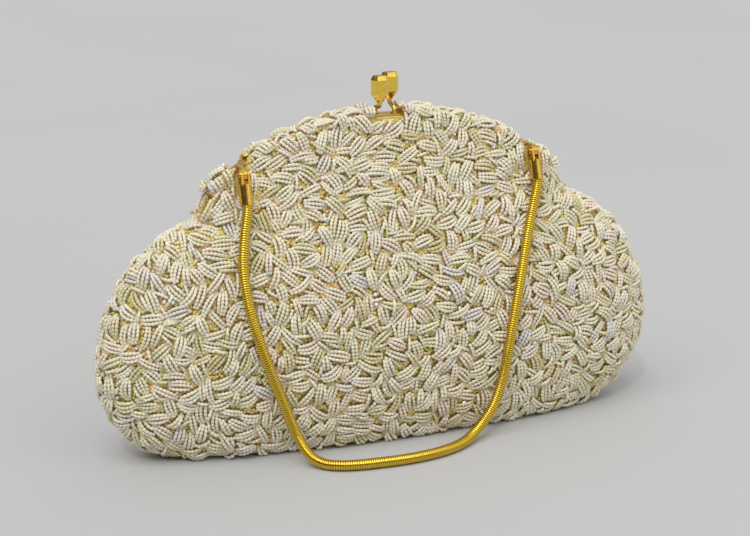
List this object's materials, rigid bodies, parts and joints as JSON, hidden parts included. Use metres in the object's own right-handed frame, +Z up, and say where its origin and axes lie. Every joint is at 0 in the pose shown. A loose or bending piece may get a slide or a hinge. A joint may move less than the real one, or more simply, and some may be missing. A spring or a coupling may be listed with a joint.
{
  "type": "kiss lock frame purse",
  "caption": "Hand-beaded half-moon evening bag on a hinged gilt frame with a kiss lock of two crossing knobs, and a snake chain handle on swivelling end clamps.",
  "frame": {"origin": "middle of the underside of the bag body, below the kiss lock", "axes": "+X to the right along the bag, the front faces -Y, +Z up"},
  "size_m": [0.238, 0.0719, 0.1466],
  "materials": {
    "beaded_cloth": "ivory seed beads in leaf clusters on satin",
    "interlining": "stiff woven interlining",
    "satin": "ivory satin",
    "gilt_frame": "polished gilt sheet",
    "gilt_pins": "polished gilt",
    "gilt_knobs": "polished gilt, bevelled",
    "gilt_chain": "polished gilt, fine ribs",
    "cotton_cord": "twisted cotton"
  },
  "bodies": {
    "root": {"front_beaded_cloth": "beaded_cloth", "back_beaded_cloth": "beaded_cloth", "back_cloth_fold": "beaded_cloth", "front_interlining": "interlining", "back_interlining": "interlining", "front_lining": "satin", "back_lining": "satin", "back_lining_fold": "satin", "slip_pocket": "satin", "front_frame": "gilt_frame", "front_packing_cord": "cotton_cord", "left_hinge_rivet": "gilt_pins", "right_hinge_rivet": "gilt_pins", "front_knob": "gilt_knobs", "front_knob_post": "gilt_frame", "left_chain_lug": "gilt_frame", "right_chain_lug": "gilt_frame", "left_swivel_pin": "gilt_pins", "right_swivel_pin": "gilt_pins"},
    "back_half": {"back_frame": "gilt_frame", "back_knob": "gilt_knobs", "back_knob_post": "gilt_frame", "back_packing_cord": "cotton_cord"},
    "handle": {"left_chain_clamp": "gilt_chain", "right_chain_clamp": "gilt_chain", "snake_chain": "gilt_chain"}
  },
  "joints": [
    {"name": "frame_opening", "type": "hinge", "parent": "root", "child": "back_half", "pos_m": [0, 0, 0.0982], "axis": [-1, 0, 0], "range_deg": [0, 50], "deforming": ["back_cloth_fold", "back_lining_fold"]},
    {"name": "handle_swing", "type": "hinge", "parent": "root", "child": "handle", "pos_m": [0, -0.0093, 0.11279], "axis": [-1, 0, 0], "range_deg": [0, 160]}
  ]
}
